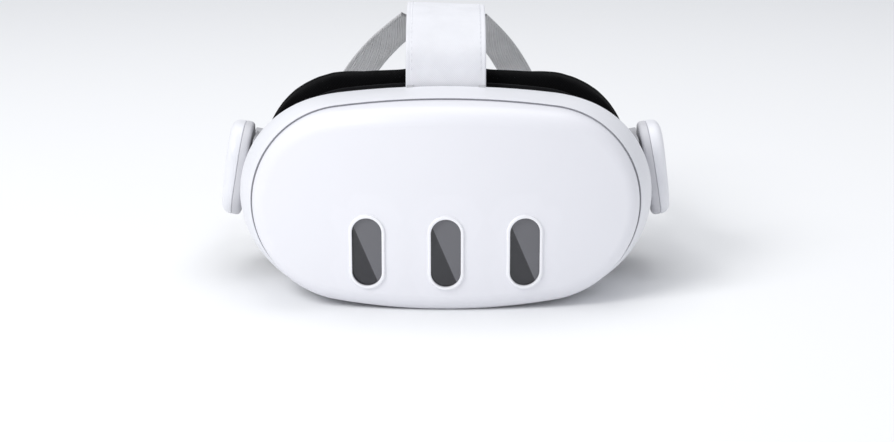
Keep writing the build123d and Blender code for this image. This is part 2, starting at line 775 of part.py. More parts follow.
HUB_TOP = 16.4
HUB_BOTTOM = -17.0
HUB_SLOPE_Z = PIVOT_Z + 12.0


def arm_hub(name, side):
    """Fixed block on the visor's side that carries the headband's hinge."""
    with BuildPart() as hub:
        with BuildSketch(arm_plane(side, -HUB_GAP)):
            with Locations(((HUB_FRONT_Y + HUB_REAR_Y) / 2, side * (HUB_TOP + HUB_BOTTOM) / 2)):
                RectangleRounded(HUB_REAR_Y - HUB_FRONT_Y, HUB_TOP - HUB_BOTTOM, 7)
        extrude(amount=-16)
        with Locations((side * (HUB_INNER_X - 20), SHELL_REAR_Y, CENTRE_Z)):
            Box(40, 40, 200, align=(Align.CENTER, Align.MIN, Align.CENTER), mode=Mode.SUBTRACT)
        add(SHELL_OUTER, mode=Mode.SUBTRACT)
        # the top slopes down towards the visor
        with BuildSketch(across(HUB_REAR_Y + 1)):
            with BuildLine():
                Polyline(
                    (side * 78, HUB_SLOPE_Z - 6.8), (side * 93, HUB_SLOPE_Z + 4),
                    (side * 93, HUB_SLOPE_Z + 20), (side * 78, HUB_SLOPE_Z + 20), close=True,
                )
            make_face()
        extrude(amount=HUB_REAR_Y - HUB_FRONT_Y + 2, mode=Mode.SUBTRACT)
        with BuildSketch(Plane.YZ.offset(side * 70)):
            with Locations((PIVOT_Y, PIVOT_Z)):
                Circle(PIN_R + PIN_CLEARANCE)
        extrude(amount=side * 40, mode=Mode.SUBTRACT)
    save(hub, f"{name}_arm_hub")


PIN_HEAD_R = 5.0
PIN_HEAD_T = 1.6
PIN_END_X = 96.0
SPEAKER_R = 9.0
SPEAKER_T = 3.0
SPEAKER_Y = ARM_FRONT_Y + 40.0
SPEAKER_Z = -10.0


def arm_pivot_pins():
    """The two hinge pins, fixed in the arms, which turn in the hubs."""
    with BuildPart() as pins:
        for side in (LEFT, RIGHT):
            with BuildSketch(Plane.YZ.offset(side * (HUB_INNER_X - 0.2 - PIN_HEAD_T))):
                with Locations((PIVOT_Y, PIVOT_Z)):
                    Circle(PIN_R)
            extrude(amount=side * (PIN_END_X - HUB_INNER_X + 0.2 + PIN_HEAD_T))
            with BuildSketch(Plane.YZ.offset(side * (HUB_INNER_X - 0.2 - PIN_HEAD_T))):
                with Locations((PIVOT_Y, PIVOT_Z)):
                    Circle(PIN_HEAD_R)
            extrude(amount=side * PIN_HEAD_T)
    save(pins, "arm_pivot_pins")


def arm_housing(name, side):
    """Inner half of an arm, with a pocket for the speaker and the bore of the hinge pin."""
    with BuildPart() as housing:
        with BuildSketch(arm_plane(side)):
            add(arm_outline(side))
        extrude(amount=HOUSING_T)
        with BuildSketch(arm_plane(side, HOUSING_T)):
            with Locations((SPEAKER_Y, side * SPEAKER_Z)):
                Circle(SPEAKER_R)
        extrude(amount=-SPEAKER_T, mode=Mode.SUBTRACT)
        with BuildSketch(Plane.YZ.offset(side * 70)):
            with Locations((PIVOT_Y, PIVOT_Z)):
                Circle(PIN_R)
        extrude(amount=side * 40, mode=Mode.SUBTRACT)
    save(housing, f"{name}_arm_housing")


def arm_cover(name, side):
    """Outer half of an arm, rounded along its outer edge."""
    with BuildPart() as cover:
        with BuildSketch(arm_plane(side, HOUSING_T)):
            add(arm_outline(side))
        extrude(amount=2 * COVER_T)
        outward = (side * cos(radians(ARM_LEAN - COVER_FLARE)), 0, sin(radians(ARM_LEAN - COVER_FLARE)))
        with BuildSketch(Plane(origin=arm_plane(side, HOUSING_T + COVER_T).origin, z_dir=outward)):
            Rectangle(400, 400)
        extrude(amount=40, mode=Mode.SUBTRACT)
        outer = cover.faces().sort_by(Axis(arm_plane(side).origin, arm_plane(side).z_dir))[-1]
        fillet(outer.edges(), radius=4.0)
        with BuildSketch(Plane.YZ.offset(side * 70)):
            with Locations((PIVOT_Y, PIVOT_Z)):
                Circle(PIN_R)
        extrude(amount=side * (PIN_END_X - 70), mode=Mode.SUBTRACT)
    save(cover, f"{name}_arm_cover")


def arm_speaker(name, side):
    with BuildPart() as speaker:
        with BuildSketch(arm_plane(side, HOUSING_T)):
            with Locations((SPEAKER_Y, side * SPEAKER_Z)):
                Circle(SPEAKER_R)
        extrude(amount=-SPEAKER_T)
    save(speaker, f"{name}_speaker")


BAND_INSET_TOP = BAND_H * tan(radians(ARM_LEAN))
BAND_HALF_W = ARM_INNER_X + (BAND_H / 2 + ARM_END_DROP) * tan(radians(ARM_LEAN))


def band_section(inset):
    """Plan outline of the band: parallel sides running back into a round rear end."""
    half_w = BAND_HALF_W - inset
    with BuildSketch() as outline:
        with Locations((0, BAND_BACK_Y)):
            add(stadium(half_w, BAND_BACK_DEPTH - inset, BAND_BACK_R - inset))
        with Locations((0, BAND_START_Y)):
            Rectangle(3 * half_w, 200, align=(Align.CENTER, Align.MAX), mode=Mode.SUBTRACT)
        with Locations((0, BAND_START_Y)):
            Rectangle(
                2 * half_w, BAND_BACK_Y - BAND_START_Y, align=(Align.CENTER, Align.MIN)
            )
    return outline.sketch


def band_solid(inset):
    """The space inside one face of the band, leaning inward towards the top."""
    with BuildPart() as space:
        with BuildSketch(Plane.XY.offset(BAND_BOTTOM_Z)):
            add(band_section(inset))
        with BuildSketch(Plane.XY.offset(BAND_BOTTOM_Z + BAND_H)):
            add(band_section(inset + BAND_INSET_TOP))
        loft(ruled=True)
    return space.part


def rear_band():
    wall = BAND_T / cos(radians(ARM_LEAN))
    with BuildPart() as band:
        add(band_solid(0.0))
        add(band_solid(wall), mode=Mode.SUBTRACT)
        with Locations((0, BAND_START_Y - 0.1, BAND_BOTTOM_Z)):
            Box(
                2 * (BAND_HALF_W - 12), 30, 3 * BAND_H,
                align=(Align.CENTER, Align.MIN, Align.CENTER), mode=Mode.SUBTRACT,
            )
    save(band, "rear_band")


SLIDER_GAP = 0.4
SLIDER_WALL = 2.6


def band_slider(name, side):
    """Adjuster loop that the band runs through."""
    # the band's edges are level, so its slanted section needs a little more height
    slot_height = BAND_H / cos(radians(ARM_LEAN)) + 2 * (SLIDER_GAP + BAND_T * tan(radians(ARM_LEAN)))
    with BuildPart() as slider:
        with BuildSketch(arm_plane(side, 2.6)):
            with Locations((SLIDER_Y, side * -ARM_END_DROP)):
                RectangleRounded(SLIDER_LENGTH, slot_height + 2 * SLIDER_WALL, 2.5)
        extrude(amount=-BAND_T - 5.2)
        with BuildSketch(arm_plane(side, SLIDER_GAP)):
            with Locations((SLIDER_Y, side * -ARM_END_DROP)):
                Rectangle(3 * SLIDER_LENGTH, slot_height)
        extrude(amount=-BAND_T - 2 * SLIDER_GAP, mode=Mode.SUBTRACT)
    save(slider, f"{name}_slider")


# ---------------------------------------------------------------- top strap and rear legs
ANCHOR_Y = SEAM_Y + 52.5
ANCHOR_Z = CENTRE_Z + 42.6
ANCHOR_HALF_W = 16.5
JUNCTION_Y = SEAM_Y + 180.0
JUNCTION_Z = CENTRE_Z + 57.0


def strap_anchor():
    """Wire loop at the top of the shell's rear rim that the top strap is sewn round."""
    with BuildPart() as anchor:
        with BuildSketch(Plane.YZ.offset(-ANCHOR_HALF_W)):
            with Locations((ANCHOR_Y, ANCHOR_Z)):
                Circle(1.2)
        extrude(amount=2 * ANCHOR_HALF_W)
        for side in (LEFT, RIGHT):
            with Locations((side * ANCHOR_HALF_W, SHELL_REAR_Y - 8, ANCHOR_Z)):
                Box(3, ANCHOR_Y - SHELL_REAR_Y + 9.2, 2.4, align=(Align.CENTER, Align.MIN, Align.CENTER))
        add(SHELL_OUTER, mode=Mode.SUBTRACT)
    save(anchor, "strap_anchor")


def strap_solid(points, width):
    """Flat strap of constant width along a smooth path in the middle plane."""
    with BuildPart() as strap:
        with BuildSketch(Plane.YZ.offset(-width / 2)):
            with BuildLine():
                Spline(*points)
            trace(line_width=STRAP_T)
        extrude(amount=width)
    return strap


FRONT_PATH = [
    (ANCHOR_Y, ANCHOR_Z + 1.5),
    (ANCHOR_Y + 5, CENTRE_Z + 59.0),
    (ANCHOR_Y + 22, CENTRE_Z + 69.5),
    (ANCHOR_Y + 48, CENTRE_Z + 72.0),
]
REAR_PATH = [
    (ANCHOR_Y + 40, CENTRE_Z + 75.5),
    (ANCHOR_Y + 75, CENTRE_Z + 73.0),
    (JUNCTION_Y + 2, JUNCTION_Z + 2.0),
]
REAR_STRAP_W = STRAP_W + 1.0


def top_strap_front():
    save(strap_solid(FRONT_PATH, STRAP_W), "top_strap_front")


def top_strap_rear():
    save(strap_solid(REAR_PATH, REAR_STRAP_W), "top_strap_rear")


LEG_TOP_X = {LEFT: 13.0, RIGHT: 15.5}       # the soft legs don't lie quite evenly
LEG_FOOT_X = {LEFT: 46.0, RIGHT: 57.0}
LEG_FOOT_Z = BAND_BOTTOM_Z + BAND_H
LEG_BOW = 8.0               # how far the legs bulge outward halfway down


def band_top_edge(x):
    """Middle of the band's upper edge at a place across its rear arc, and the edge's direction there."""
    inset = BAND_INSET_TOP + BAND_T / 2
    half_w = BAND_HALF_W - inset
    half_h = BAND_BACK_DEPTH - inset
    end_r = BAND_BACK_R - inset
    arc_r = ((half_w - end_r) ** 2 + half_h**2 - end_r**2) / (2 * (half_h - end_r))
    arc_y = BAND_BACK_Y + half_h - arc_r
    y = arc_y + sqrt(arc_r**2 - x**2)
    return Vector(x, y, LEG_FOOT_Z), Vector(y - arc_y, -x, 0)


def rear_y_strap():
    """Two soft legs that join the top strap to the band, like an upside-down Y."""
    top = Vector(0, JUNCTION_Y, JUNCTION_Z)
    up = top - band_top_edge(0)[0]
    with BuildPart() as legs:
        for side in (LEFT, RIGHT):
            foot, along = band_top_edge(side * LEG_FOOT_X[side])
            head = top + Vector(side * LEG_TOP_X[side], 0, 0)
            across_middle = along.normalized() + Vector(1, 0, 0)
            outward = (head - foot).cross(across_middle).normalized()
            middle = (foot + head) * 0.5 + outward * LEG_BOW
            with BuildSketch(Plane(origin=foot, x_dir=along, z_dir=(0, 0, 1))):
                Rectangle(LEG_W, STRAP_T)
            with BuildSketch(Plane(origin=middle, x_dir=across_middle, z_dir=head - foot)):
                Rectangle(LEG_W, STRAP_T)
            with BuildSketch(Plane(origin=head, x_dir=(1, 0, 0), z_dir=up)):
                Rectangle(LEG_W, STRAP_T)
            loft(ruled=True)
        # the top is sewn under the top strap
        with BuildSketch(Plane(origin=top, x_dir=(1, 0, 0), z_dir=up)):
            with Locations(((LEG_TOP_X[LEFT] - LEG_TOP_X[RIGHT]) / 2, 0)):
                Rectangle(LEG_TOP_X[LEFT] + LEG_TOP_X[RIGHT] + LEG_W, STRAP_T)
        extrude(amount=2.5)
        add(strap_solid(REAR_PATH, REAR_STRAP_W).part, mode=Mode.SUBTRACT)
    save(legs, "rear_y_strap")


def build_visor():
    main_shell()
    front_cover()
    seam_gasket()
    for name, x in WINDOWS:
        sensor_window(name, x)
    camera_module("left", WINDOW_PITCH)
    camera_module("right", -WINDOW_PITCH)
    depth_projector()
    mid_frame()
    guide_rods()
    mainboard()
    fan_housing()
    fan_impeller()
    battery_cells()
    heat_sink()
    inner_face_plate()
    proximity_sensor()
    usb_port()
    audio_jack()
    power_button()
    status_light()
    volume_rocker()
    charge_contacts()
    ipd_wheel()
    ipd_pinion()
    strap_anchor()
    top_strap_front()


def build_face_interface():
    facial_frame()
    facial_cushion()


def build_headband():
    arm_pivot_pins()
    rear_band()
    rear_y_strap()
    top_strap_rear()


build_visor()
build_face_interface()
build_headband()
for side_name, side_sign in SIDES:
    lens_barrel(side_name, side_sign)
    eye_lens(side_name, side_sign)
    display_panel(side_name, side_sign)
    lens_rack(side_name, side_sign)
    depth_button(side_name, side_sign)
    arm_hub(side_name, side_sign)
    arm_housing(side_name, side_sign)
    arm_cover(side_name, side_sign)
    arm_speaker(side_name, side_sign)
    band_slider(side_name, side_sign)
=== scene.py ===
import json
import math

import bmesh
import bpy
import numpy as np
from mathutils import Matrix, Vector


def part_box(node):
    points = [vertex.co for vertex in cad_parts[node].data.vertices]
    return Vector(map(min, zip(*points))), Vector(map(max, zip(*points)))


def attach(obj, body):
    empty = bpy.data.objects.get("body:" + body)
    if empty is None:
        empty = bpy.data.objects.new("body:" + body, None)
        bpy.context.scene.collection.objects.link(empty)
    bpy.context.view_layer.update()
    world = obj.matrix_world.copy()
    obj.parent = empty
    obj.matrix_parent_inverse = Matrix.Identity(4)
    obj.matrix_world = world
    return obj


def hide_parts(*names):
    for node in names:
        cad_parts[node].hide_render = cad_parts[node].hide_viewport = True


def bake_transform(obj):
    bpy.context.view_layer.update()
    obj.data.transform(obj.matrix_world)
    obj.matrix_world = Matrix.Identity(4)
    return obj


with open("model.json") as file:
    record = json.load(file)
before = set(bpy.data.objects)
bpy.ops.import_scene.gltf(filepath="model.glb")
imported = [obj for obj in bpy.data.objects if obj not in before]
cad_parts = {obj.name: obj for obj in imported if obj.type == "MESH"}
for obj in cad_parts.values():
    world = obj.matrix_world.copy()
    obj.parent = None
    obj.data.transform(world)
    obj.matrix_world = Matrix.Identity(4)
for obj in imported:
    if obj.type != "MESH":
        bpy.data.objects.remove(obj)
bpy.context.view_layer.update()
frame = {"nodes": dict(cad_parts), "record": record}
NODES = frame["nodes"]
SLOT_OF = {entry["node"]: entry["material_slot"] for entry in frame["record"]["subparts"]}
MM = 0.001
LEFT, RIGHT = 1, -1
X_AXIS = np.array([1.0, 0.0, 0.0])


# ---------------------------------------------------------------- CAD dimensions, in metres
SEAM_Y = -22.0 * MM
CENTRE_Z = 45.2 * MM
DOME_R = 235.0 * MM
DOME_Y = SEAM_Y - 24.0 * MM + DOME_R
WINDOW_PITCH, WINDOW_Z = 34.4 * MM, CENTRE_Z - 18.0 * MM
PIVOT_Z = CENTRE_Z + 8.0 * MM
LEAN = math.radians(9.5)
ARM_INNER_X = 91.5 * MM
ARM_FRONT_Y, ARM_REAR_Y = SEAM_Y + 37.5 * MM, SEAM_Y + 112.0 * MM
BAND_H, BAND_T = 22.0 * MM, 2.5 * MM
BAND_DROP = 24.0 * MM
BAND_BOTTOM_Z = PIVOT_Z - BAND_DROP
BAND_HALF_W = ARM_INNER_X + BAND_DROP * math.tan(LEAN)
BAND_START_Y, BAND_BACK_Y = SEAM_Y + 98.0 * MM, SEAM_Y + 146.0 * MM
BAND_BACK_DEPTH, BAND_BACK_R = 70.0 * MM, 62.0 * MM
ANCHOR_Y, ANCHOR_Z = SEAM_Y + 52.5 * MM, CENTRE_Z + 42.6 * MM
STRAP_W, STRAP_T = 37.0 * MM, 1.2 * MM
JUNCTION_Y, JUNCTION_Z = SEAM_Y + 180.0 * MM, CENTRE_Z + 57.0 * MM
LEG_W, LEG_T, LEG_BOW = 17.0 * MM, 1.3 * MM, 8.0 * MM


# ---------------------------------------------------------------- materials
# cells of noise in a metre, from broad clouds of gloss to single fibres, and in the streaks of brushed metal
CLOUD_SCALE, DYE_SCALE, TINT_SCALE, GRAIN_SCALE, FUZZ_SCALE = 30.0, 90.0, 160.0, 1200.0, 2600.0
STREAK_SCALE = (40.0, 900.0, 40.0)


def new_material(name, colour, rough, **sockets):
    mat = bpy.data.materials.new(name)
    mat.use_nodes = True
    bsdf = mat.node_tree.nodes["Principled BSDF"]
    bsdf.inputs["Base Color"].default_value = (*colour, 1.0)
    bsdf.inputs["Roughness"].default_value = rough
    for key, value in sockets.items():
        bsdf.inputs[key.replace("_", " ")].default_value = value
    return mat, mat.node_tree.nodes, mat.node_tree.links, bsdf


def noise(nodes, links, coord, scale, detail):
    tex = nodes.new("ShaderNodeTexNoise")
    tex.inputs["Scale"].default_value = scale
    tex.inputs["Detail"].default_value = detail
    links.new(coord, tex.inputs["Vector"])
    return tex.outputs["Fac"]


def remap(nodes, links, value, low, high, start=0.0, end=1.0):
    node = nodes.new("ShaderNodeMapRange")
    for key, number in (("From Min", start), ("From Max", end), ("To Min", low), ("To Max", high)):
        node.inputs[key].default_value = number
    links.new(value, node.inputs["Value"])
    return node.outputs["Result"]


def ramp(nodes, links, value, low, high):
    """A ramp between two (place, colour) stops."""
    node = nodes.new("ShaderNodeValToRGB")
    for element, (place, colour) in zip(node.color_ramp.elements, (low, high)):
        element.position = place
        element.color = (*colour, 1.0)
    links.new(value, node.inputs["Fac"])
    return node.outputs["Color"]


def math_node(nodes, links, operation, *values):
    node = nodes.new("ShaderNodeMath")
    node.operation = operation
    for socket, value in zip(node.inputs, values):
        if isinstance(value, (int, float)):
            socket.default_value = value
        else:
            links.new(value, socket)
    return node.outputs["Value"]


def bump(nodes, links, bsdf, height, distance):
    node = nodes.new("ShaderNodeBump")
    node.inputs["Strength"].default_value = 1.0
    node.inputs["Distance"].default_value = distance
    links.new(height, node.inputs["Height"])
    links.new(node.outputs["Normal"], bsdf.inputs["Normal"])


def scaled(colour, factor):
    return tuple(min(1.0, c * factor) for c in colour)


def moulded(name, colour, rough, depth=0.02 * MM, wear=0.03, **sockets):
    """Moulded or painted plastic: fine grain, uneven gloss and edges rubbed slightly lighter."""
    mat, nodes, links, bsdf = new_material(name, colour, rough, **sockets)
    coord = nodes.new("ShaderNodeTexCoord").outputs["Object"]
    geometry = nodes.new("ShaderNodeNewGeometry")
    cloud = noise(nodes, links, coord, CLOUD_SCALE, 4.0)
    links.new(remap(nodes, links, cloud, rough - 0.05, rough + 0.05, 0.3, 0.7), bsdf.inputs["Roughness"])
    edge = remap(nodes, links, geometry.outputs["Pointiness"], 0.0, 1.0, 0.49, 0.53)
    tone = math_node(nodes, links, "MULTIPLY_ADD", cloud, 0.35, edge)
    low, high = scaled(colour, 1.0 - wear), scaled(colour, 1.0 + wear)
    links.new(ramp(nodes, links, tone, (0.1, low), (1.0, high)), bsdf.inputs["Base Color"])
    bump(nodes, links, bsdf, noise(nodes, links, coord, GRAIN_SCALE, 3.0), depth)
    return mat


def brushed(name, colour, rough):
    """Bare metal with fine streaks along one direction."""
    mat, nodes, links, bsdf = new_material(name, colour, rough, Metallic=1.0)
    coord = nodes.new("ShaderNodeTexCoord").outputs["Object"]
    mapping = nodes.new("ShaderNodeMapping")
    mapping.inputs["Scale"].default_value = STREAK_SCALE
    links.new(coord, mapping.inputs["Vector"])
    streaks = noise(nodes, links, mapping.outputs["Vector"], 1.0, 4.0)
    links.new(remap(nodes, links, streaks, rough - 0.1, rough + 0.12), bsdf.inputs["Roughness"])
    tint = ramp(nodes, links, streaks, (0.3, scaled(colour, 0.85)), (0.7, colour))
    links.new(tint, bsdf.inputs["Base Color"])
    bump(nodes, links, bsdf, streaks, 0.01 * MM)
    return mat


def glass_with_painted_reflection(name, dark, painted_reflection_tone, slope):
    """Dark window glass with a painted reflection: two tones, the lighter one a reflection painted into the
    colour, that meet along a slanting line through each window.
    """
    mat, nodes, links, bsdf = new_material(name, dark, 0.14, Specular_IOR_Level=0.5, Coat_Weight=0.4)
    bsdf.inputs["Coat Roughness"].default_value = 0.05
    coord = nodes.new("ShaderNodeTexCoord").outputs["Object"]
    xyz = nodes.new("ShaderNodeSeparateXYZ")
    links.new(coord, xyz.inputs["Vector"])
    # distance across from the middle of the nearest window, shifted so that the remainder stays positive
    shifted = math_node(nodes, links, "ADD", xyz.outputs["X"], WINDOW_PITCH * 10.5)
    local_x = math_node(nodes, links, "MODULO", shifted, WINDOW_PITCH)
    local_x = math_node(nodes, links, "SUBTRACT", local_x, WINDOW_PITCH / 2)
    up = math_node(nodes, links, "SUBTRACT", xyz.outputs["Z"], WINDOW_Z)
    side = math_node(nodes, links, "MULTIPLY_ADD", up, slope, local_x)
    # the slanting edge of the painted reflection in each window
    line = remap(nodes, links, side, 0.0, 1.0, -1.15 * MM, -0.85 * MM)
    cloud = noise(nodes, links, coord, TINT_SCALE, 2.0)
    tone = math_node(nodes, links, "MULTIPLY_ADD", cloud, 0.12, line)
    # the light end of the ramp is the painted reflection, with a little random tint mixed in
    links.new(ramp(nodes, links, tone, (0.05, dark), (1.0, painted_reflection_tone)), bsdf.inputs["Base Color"])
    return mat


def woven(name, colour, pitch, rough=0.85, depth=0.12 * MM, contrast=0.2, **sockets):
    """Woven or knitted cloth: two crossing sets of threads with fuzz and uneven dye."""
    mat, nodes, links, bsdf = new_material(name, colour, rough, **sockets)
    coord = nodes.new("ShaderNodeTexCoord").outputs["Object"]
    xyz = nodes.new("ShaderNodeSeparateXYZ")
    links.new(coord, xyz.inputs["Vector"])
    turns = 2 * math.pi / pitch
    across = math_node(nodes, links, "SINE", math_node(nodes, links, "MULTIPLY", xyz.outputs["X"], turns))
    travel = math_node(nodes, links, "ADD", xyz.outputs["Z"], xyz.outputs["Y"])
    along = math_node(nodes, links, "SINE", math_node(nodes, links, "MULTIPLY", travel, turns * 0.8))
    weave = math_node(nodes, links, "MULTIPLY", across, along)
    fuzz = noise(nodes, links, coord, FUZZ_SCALE, 3.0)
    height = math_node(nodes, links, "MULTIPLY_ADD", fuzz, 0.8, weave)
    dye = noise(nodes, links, coord, DYE_SCALE, 3.0)
    tone = math_node(nodes, links, "MULTIPLY_ADD", weave, 0.25, dye)
    tint = ramp(nodes, links, tone, (0.2, scaled(colour, 1 - contrast)), (0.75, colour))
    links.new(tint, bsdf.inputs["Base Color"])
    links.new(remap(nodes, links, fuzz, rough - 0.05, rough + 0.08), bsdf.inputs["Roughness"])
    bump(nodes, links, bsdf, height, depth)
    return mat


BODY_WHITE, MID_GREY = (0.81, 0.815, 0.85), (0.42, 0.42, 0.44)
MATERIALS = {
    "cover_white": moulded("cover_white", (0.83, 0.83, 0.87), 0.46, wear=0.012),
    "shell_white": moulded("shell_white", BODY_WHITE, 0.42, depth=0.03 * MM, wear=0.015),
    "arm_white": moulded("arm_white", BODY_WHITE, 0.40, depth=0.03 * MM, wear=0.015),
    "seam_grey": moulded("seam_grey", MID_GREY, 0.7),
    "rim_white": moulded("rim_white", (0.9, 0.9, 0.93), 0.26, wear=0.01),
    # the lighter of the sensor glass's two tones is a painted reflection
    "sensor_glass": glass_with_painted_reflection("sensor_glass", (0.010, 0.010, 0.014), (0.122, 0.122, 0.135), slope=0.42),
    "lens_glass": moulded("lens_glass", (0.012, 0.012, 0.02), 0.04, depth=0.0, Coat_Weight=1.0),
    "display_glass": moulded("display_glass", (0.01, 0.01, 0.012), 0.1, depth=0.0),
    "black_plastic": moulded("black_plastic", (0.014, 0.014, 0.015), 0.5, depth=0.05 * MM, wear=0.3),
    "inner_black": moulded(
        "inner_black", (0.006, 0.006, 0.007), 0.65, depth=0.05 * MM, wear=0.3, Specular_IOR_Level=0.25
    ),
    "grey_plastic": moulded("grey_plastic", MID_GREY, 0.5, depth=0.04 * MM, wear=0.06),
    "cast_frame": brushed("cast_frame", (0.45, 0.45, 0.46), 0.45),
    "heat_sink_metal": brushed("heat_sink_metal", (0.55, 0.55, 0.56), 0.35),
    "steel": brushed("steel", (0.6, 0.6, 0.61), 0.25),
    "circuit": moulded("circuit", (0.015, 0.08, 0.035), 0.45, wear=0.3),
    "cell_foil": moulded("cell_foil", (0.3, 0.3, 0.32), 0.35, wear=0.15),
    "light_lens": moulded("light_lens", (0.75, 0.75, 0.76), 0.25, Transmission_Weight=0.3),
    "gold_contacts": brushed("gold_contacts", (0.85, 0.62, 0.25), 0.25),
    "foam_black": woven(
        "foam_black", (0.003, 0.003, 0.0035), 1.3 * MM, rough=0.95, contrast=0.4, Specular_IOR_Level=0.12
    ),
    "strap_white": woven("strap_white", (0.83, 0.835, 0.87), 1.0 * MM, contrast=0.08, depth=0.06 * MM),
    "strap_grey": woven("strap_grey", (0.66, 0.66, 0.665), 1.2 * MM),
}
# a darker copy of the arms' white: painted shade on the inner halves, which are the same plastic
ARM_PAINTED_SHADE_WHITE = moulded("arm_inner_painted_shade", (0.60, 0.60, 0.63), 0.5, depth=0.03 * MM, wear=0.02)
for node_name, node in NODES.items():
    node.data.materials.clear()
    node.data.materials.append(MATERIALS[SLOT_OF[node_name]])


# ---------------------------------------------------------------- mesh helpers
def mesh_object(name, vertices, faces, slot, body=None):
    mesh = bpy.data.meshes.new(name)
    mesh.from_pydata([tuple(v) for v in vertices], [], faces)
    mesh.validate()
    mesh.materials.append(MATERIALS[slot])
    for polygon in mesh.polygons:
        polygon.use_smooth = True
    obj = bpy.data.objects.new(name, mesh)
    bpy.context.scene.collection.objects.link(obj)
    if body:
        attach(obj, body)
    return obj


def recalculate(obj):
    """Turns every face of a closed mesh outward."""
    bm = bmesh.new()
    bm.from_mesh(obj.data)
    bmesh.ops.recalc_face_normals(bm, faces=bm.faces)
    bm.to_mesh(obj.data)
    bm.free()
    return obj


def grid_faces(rows, columns, close_rows=False, close_columns=False, start=0):
    """Quads of a rows x columns sheet of points, wrapped round where asked."""
    faces = []
    for r in range(rows if close_rows else rows - 1):
        here, ahead = start + r * columns, start + (r + 1) % rows * columns
        for c in range(columns if close_columns else columns - 1):
            beside = (c + 1) % columns
            faces.append((here + c, here + beside, ahead + beside, ahead + c))
    return faces


def end_caps(rows, columns):
    """The first and the last row of a closed sheet's points, each as one face."""
    return [tuple(range(columns))[::-1], tuple(range((rows - 1) * columns, rows * columns))]


def directions(points):
    """Unit directions of travel at each point of a line."""
    along = np.gradient(points, axis=0)
    return along / np.linalg.norm(along, axis=1)[:, None]


def travelled(points):
    """Distance from a line's start to each of its points."""
    return np.concatenate([[0], np.cumsum(np.linalg.norm(np.diff(points, axis=0), axis=1))])


def smooth_path(points, count):
    """Catmull-Rom curve through the points, evenly spaced by length."""
    points = np.array(points, float)
    ends = np.vstack([2 * points[0] - points[1], points, 2 * points[-1] - points[-2]])
    fine = []
    for i in range(len(points) - 1):
        p0, p1, p2, p3 = ends[i : i + 4]
        slope, bend, twist = p2 - p0, 2 * p0 - 5 * p1 + 4 * p2 - p3, 3 * p1 - p0 - 3 * p2 + p3
        for t in np.linspace(0, 1, 24, endpoint=False):
            fine.append(0.5 * (2 * p1 + slope * t + bend * t * t + twist * t**3))
    fine.append(points[-1])
    fine = np.array(fine)
    length = travelled(fine)
    stations = np.linspace(0, length[-1], count)
    return np.array([[np.interp(s, length, column) for column in fine.T] for s in stations])


def webbing_section(width, thickness):
    """Closed outline of a flat strap's section: rounded selvedges and a sewn line a little way in."""
    half, t = width / 2, thickness / 2
    seam_inset, seam_width, seam_dip = 2.0 * MM, 0.3 * MM, 0.3 * t
    edge = [half - t] + [half - inset * MM for inset in (1.7, 2.0, 2.3, 2.7)]
    middle = half - 4 * MM
    top = []
    for x in [-x for x in edge] + list(np.linspace(-middle, middle, 9)) + edge[::-1]:
        dip = seam_dip * math.exp(-(((abs(x) - half + seam_inset) / seam_width) ** 2))
        top.append((x, t - dip))
    bottom = [(x, -y) for x, y in reversed(top)]
    turn = np.radians([60, 30, 0, -30, -60])
    right = [(half - t + t * math.cos(a), t * math.sin(a)) for a in turn]
    left = [(-half + t - t * math.cos(a), -t * math.sin(a)) for a in turn]
    return top + right + bottom + left


def ribbon(name, line, width, thickness, slot, body=None):
    """A strap swept along a line, which is its centres, its width's directions and its normals."""
    section = webbing_section(width, thickness)
    vertices = []
    for centre, side, normal in zip(*line):
        for u, v in section:
            vertices.append(np.array(centre) + np.array(side) * u + np.array(normal) * v)
    rows, columns = len(line[0]), len(section)
    faces = grid_faces(rows, columns, close_columns=True) + end_caps(rows, columns)
    return recalculate(mesh_object(name, vertices, faces, slot, body))


STITCH_LENGTH, STITCH_GAP, STITCH_R, STITCH_SIDES = 2.2 * MM, 1.1 * MM, 0.22 * MM, 6
# share of the stitch's length, height of its middle above the cloth and size, both in thread radii
STITCH_RINGS = ((0.0, -0.9, 0.5), (0.12, 0.1, 0.9), (0.5, 0.45, 1.0), (0.88, 0.1, 0.9), (1.0, -0.9, 0.5))


def stitches(name, points, normals, slot, body=None):
    """A row of short raised threads along a line of points."""
    points, normals = np.array(points, float), np.array(normals, float)
    travel = travelled(points)

    def at(array, s):
        return np.array([np.interp(s, travel, column) for column in array.T])

    vertices, faces = [], []
    start = 0.0
    while start + STITCH_LENGTH < travel[-1]:
        a, b = at(points, start), at(points, start + STITCH_LENGTH)
        n = at(normals, start + STITCH_LENGTH / 2)
        n /= np.linalg.norm(n)
        along = (b - a) / np.linalg.norm(b - a)
        side = np.cross(along, n)
        base = len(vertices)
        for share, lift, size in STITCH_RINGS:
            centre = a + (b - a) * share + n * STITCH_R * lift
            for k in range(STITCH_SIDES):
                angle = 2 * math.pi * k / STITCH_SIDES
                vertices.append(centre + (side * math.cos(angle) + n * math.sin(angle)) * STITCH_R * size)
        faces += grid_faces(len(STITCH_RINGS), STITCH_SIDES, close_columns=True, start=base)
        for cap in end_caps(len(STITCH_RINGS), STITCH_SIDES):
            faces.append(tuple(base + corner for corner in cap))
        start += STITCH_LENGTH + STITCH_GAP
    return mesh_object(name, vertices, faces, slot, body)


# ---------------------------------------------------------------- camera windows
RIM_INNER_R, RIM_OUTER_R, RIM_HALF_H = 6.5 * MM, 7.8 * MM, 15.4 * MM
RIM_PROUD, RIM_EDGE_R = 1.1 * MM, 0.45 * MM


def slot_outline(half_w, half_h, count=96):
    """Points and outward normals of an upright slot: straight sides and round ends."""
    straight = half_h - half_w
    points, normals = [], []
    for k in range(count):
        angle = 2 * math.pi * (k + 0.5) / count
        n = (math.cos(angle), math.sin(angle))
        points.append((half_w * n[0], half_w * n[1] + math.copysign(straight, n[1])))
        normals.append(n)
    return points, normals


